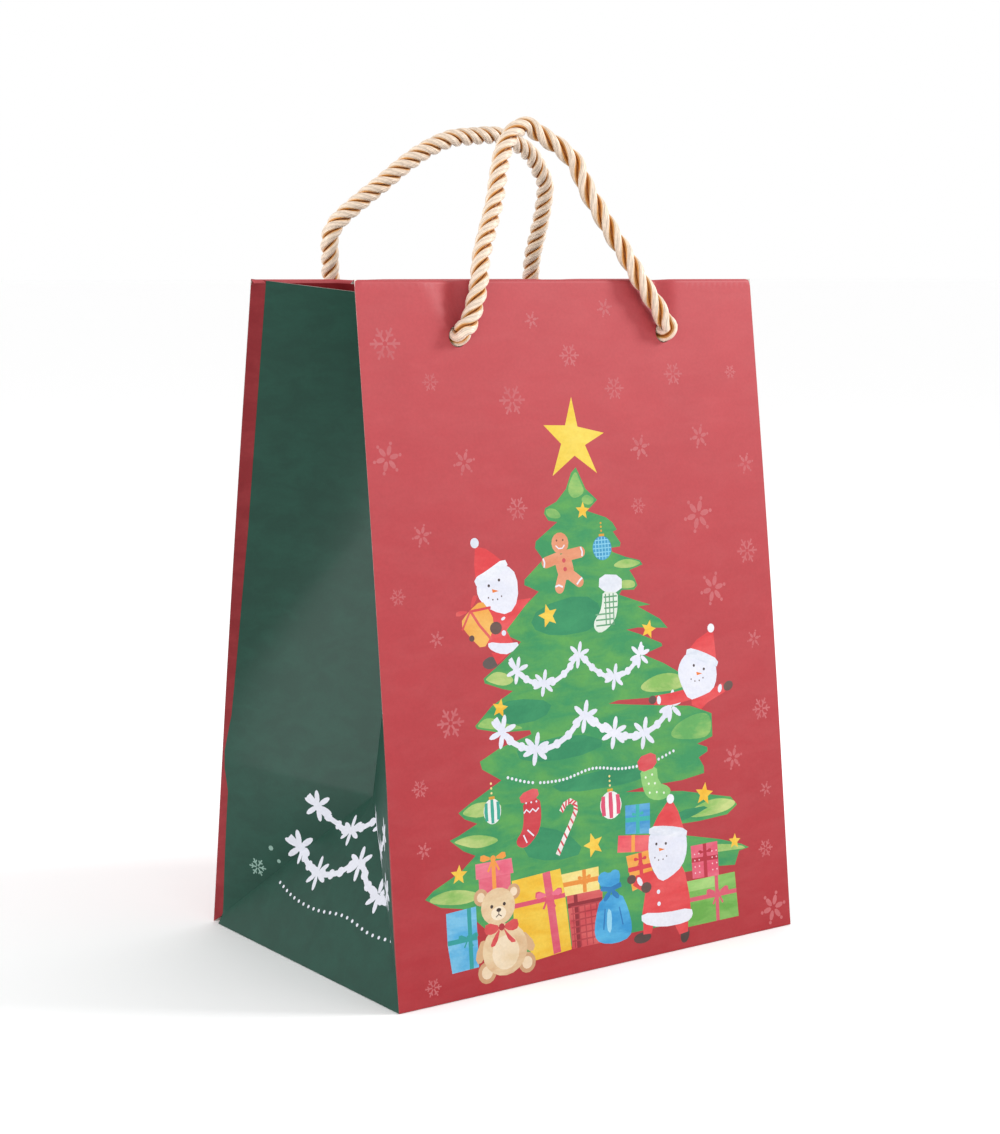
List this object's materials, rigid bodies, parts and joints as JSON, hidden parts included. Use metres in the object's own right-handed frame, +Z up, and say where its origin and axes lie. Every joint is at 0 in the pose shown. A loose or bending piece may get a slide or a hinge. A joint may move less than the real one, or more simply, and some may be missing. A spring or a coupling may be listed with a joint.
{
  "type": "gift bag",
  "caption": "Folded paper gift bag with pleated side gussets, turned-in rim, base board and two twisted rope handles knotted through punched holes.",
  "frame": {"origin": "middle of the base, on the surface the bag stands on", "axes": "+Z up, the printed front wall faces -Y, +X to the right as seen from the front"},
  "size_m": [0.16, 0.1179, 0.2716],
  "materials": {
    "base_flap_back": "matt printed paper, plain red",
    "base_flap_front": "matt printed paper, plain red",
    "base_flap_left": "matt printed paper, dark green",
    "base_flap_right": "matt printed paper, dark green",
    "base_board": "uncoated grey board",
    "front_panel": "matt printed paper, red with a seasonal print",
    "front_card": "uncoated grey card",
    "front_hem": "turned-in paper, dark red",
    "front_knot_left": "twisted satin cord, tied",
    "front_knot_right": "twisted satin cord, tied",
    "front_handle": "three-strand twisted satin cord",
    "back_panel": "matt printed paper, red with a seasonal print",
    "back_card": "uncoated grey card",
    "back_hem": "turned-in paper, dark red",
    "back_knot_left": "twisted satin cord, tied",
    "back_knot_right": "twisted satin cord, tied",
    "back_handle": "three-strand twisted satin cord",
    "left_gusset_base": "matt printed paper, dark green",
    "left_gusset_front_corner": "matt printed paper, dark green",
    "left_gusset_front_upper": "matt printed paper, dark green",
    "left_gusset_front_hem": "turned-in paper, dark red",
    "left_gusset_back_corner": "matt printed paper, dark green",
    "left_gusset_back_upper": "matt printed paper, dark green",
    "left_gusset_back_hem": "turned-in paper, dark red",
    "right_gusset_base": "matt printed paper, dark green",
    "right_gusset_front_corner": "matt printed paper, dark green",
    "right_gusset_front_upper": "matt printed paper, dark green",
    "right_gusset_front_hem": "turned-in paper, dark red",
    "right_gusset_back_corner": "matt printed paper, dark green",
    "right_gusset_back_upper": "matt printed paper, dark green",
    "right_gusset_back_hem": "turned-in paper, dark red",
    "seam_flap": "matt printed paper, plain red"
  },
  "bodies": {
    "root": {"base_flap_back": "base_flap_back", "base_flap_front": "base_flap_front", "base_flap_left": "base_flap_left", "base_flap_right": "base_flap_right", "base_board": "base_board", "left_gusset_base": "left_gusset_base", "left_gusset_front_corner": "left_gusset_front_corner", "left_gusset_front_upper": "left_gusset_front_upper", "left_gusset_front_hem": "left_gusset_front_hem", "left_gusset_back_corner": "left_gusset_back_corner", "left_gusset_back_upper": "left_gusset_back_upper", "left_gusset_back_hem": "left_gusset_back_hem", "right_gusset_base": "right_gusset_base", "right_gusset_front_corner": "right_gusset_front_corner", "right_gusset_front_upper": "right_gusset_front_upper", "right_gusset_front_hem": "right_gusset_front_hem", "right_gusset_back_corner": "right_gusset_back_corner", "right_gusset_back_upper": "right_gusset_back_upper", "right_gusset_back_hem": "right_gusset_back_hem", "seam_flap": "seam_flap"},
    "front_wall": {"front_panel": "front_panel", "front_card": "front_card", "front_hem": "front_hem", "front_knot_left": "front_knot_left", "front_knot_right": "front_knot_right"},
    "back_wall": {"back_panel": "back_panel", "back_card": "back_card", "back_hem": "back_hem", "back_knot_left": "back_knot_left", "back_knot_right": "back_knot_right"},
    "front_loop": {"front_handle": "front_handle"},
    "back_loop": {"back_handle": "back_handle"}
  },
  "joints": [
    {"name": "front_wall_tilt", "type": "hinge", "parent": "root", "child": "front_wall", "pos_m": [0, -0.059, 0], "axis": [1, 0, 0], "range_deg": [-2.5, 6.5], "deforming": ["left_gusset_front_corner", "left_gusset_front_upper", "left_gusset_front_hem", "right_gusset_front_corner", "right_gusset_front_upper", "right_gusset_front_hem"]},
    {"name": "back_wall_tilt", "type": "hinge", "parent": "root", "child": "back_wall", "pos_m": [0, 0.059, 0], "axis": [-1, 0, 0], "range_deg": [-2.5, 7.5], "deforming": ["left_gusset_back_corner", "left_gusset_back_upper", "left_gusset_back_hem", "right_gusset_back_corner", "right_gusset_back_upper", "right_gusset_back_hem", "seam_flap"]},
    {"name": "front_handle_swing", "type": "hinge", "parent": "front_wall", "child": "front_loop", "pos_m": [0, -0.03957, 0.20282], "axis": [1, 0, 0], "range_deg": [0, 170]},
    {"name": "back_handle_swing", "type": "hinge", "parent": "back_wall", "child": "back_loop", "pos_m": [0, 0.03496, 0.20295], "axis": [-1, 0, 0], "range_deg": [0, 170]}
  ]
}
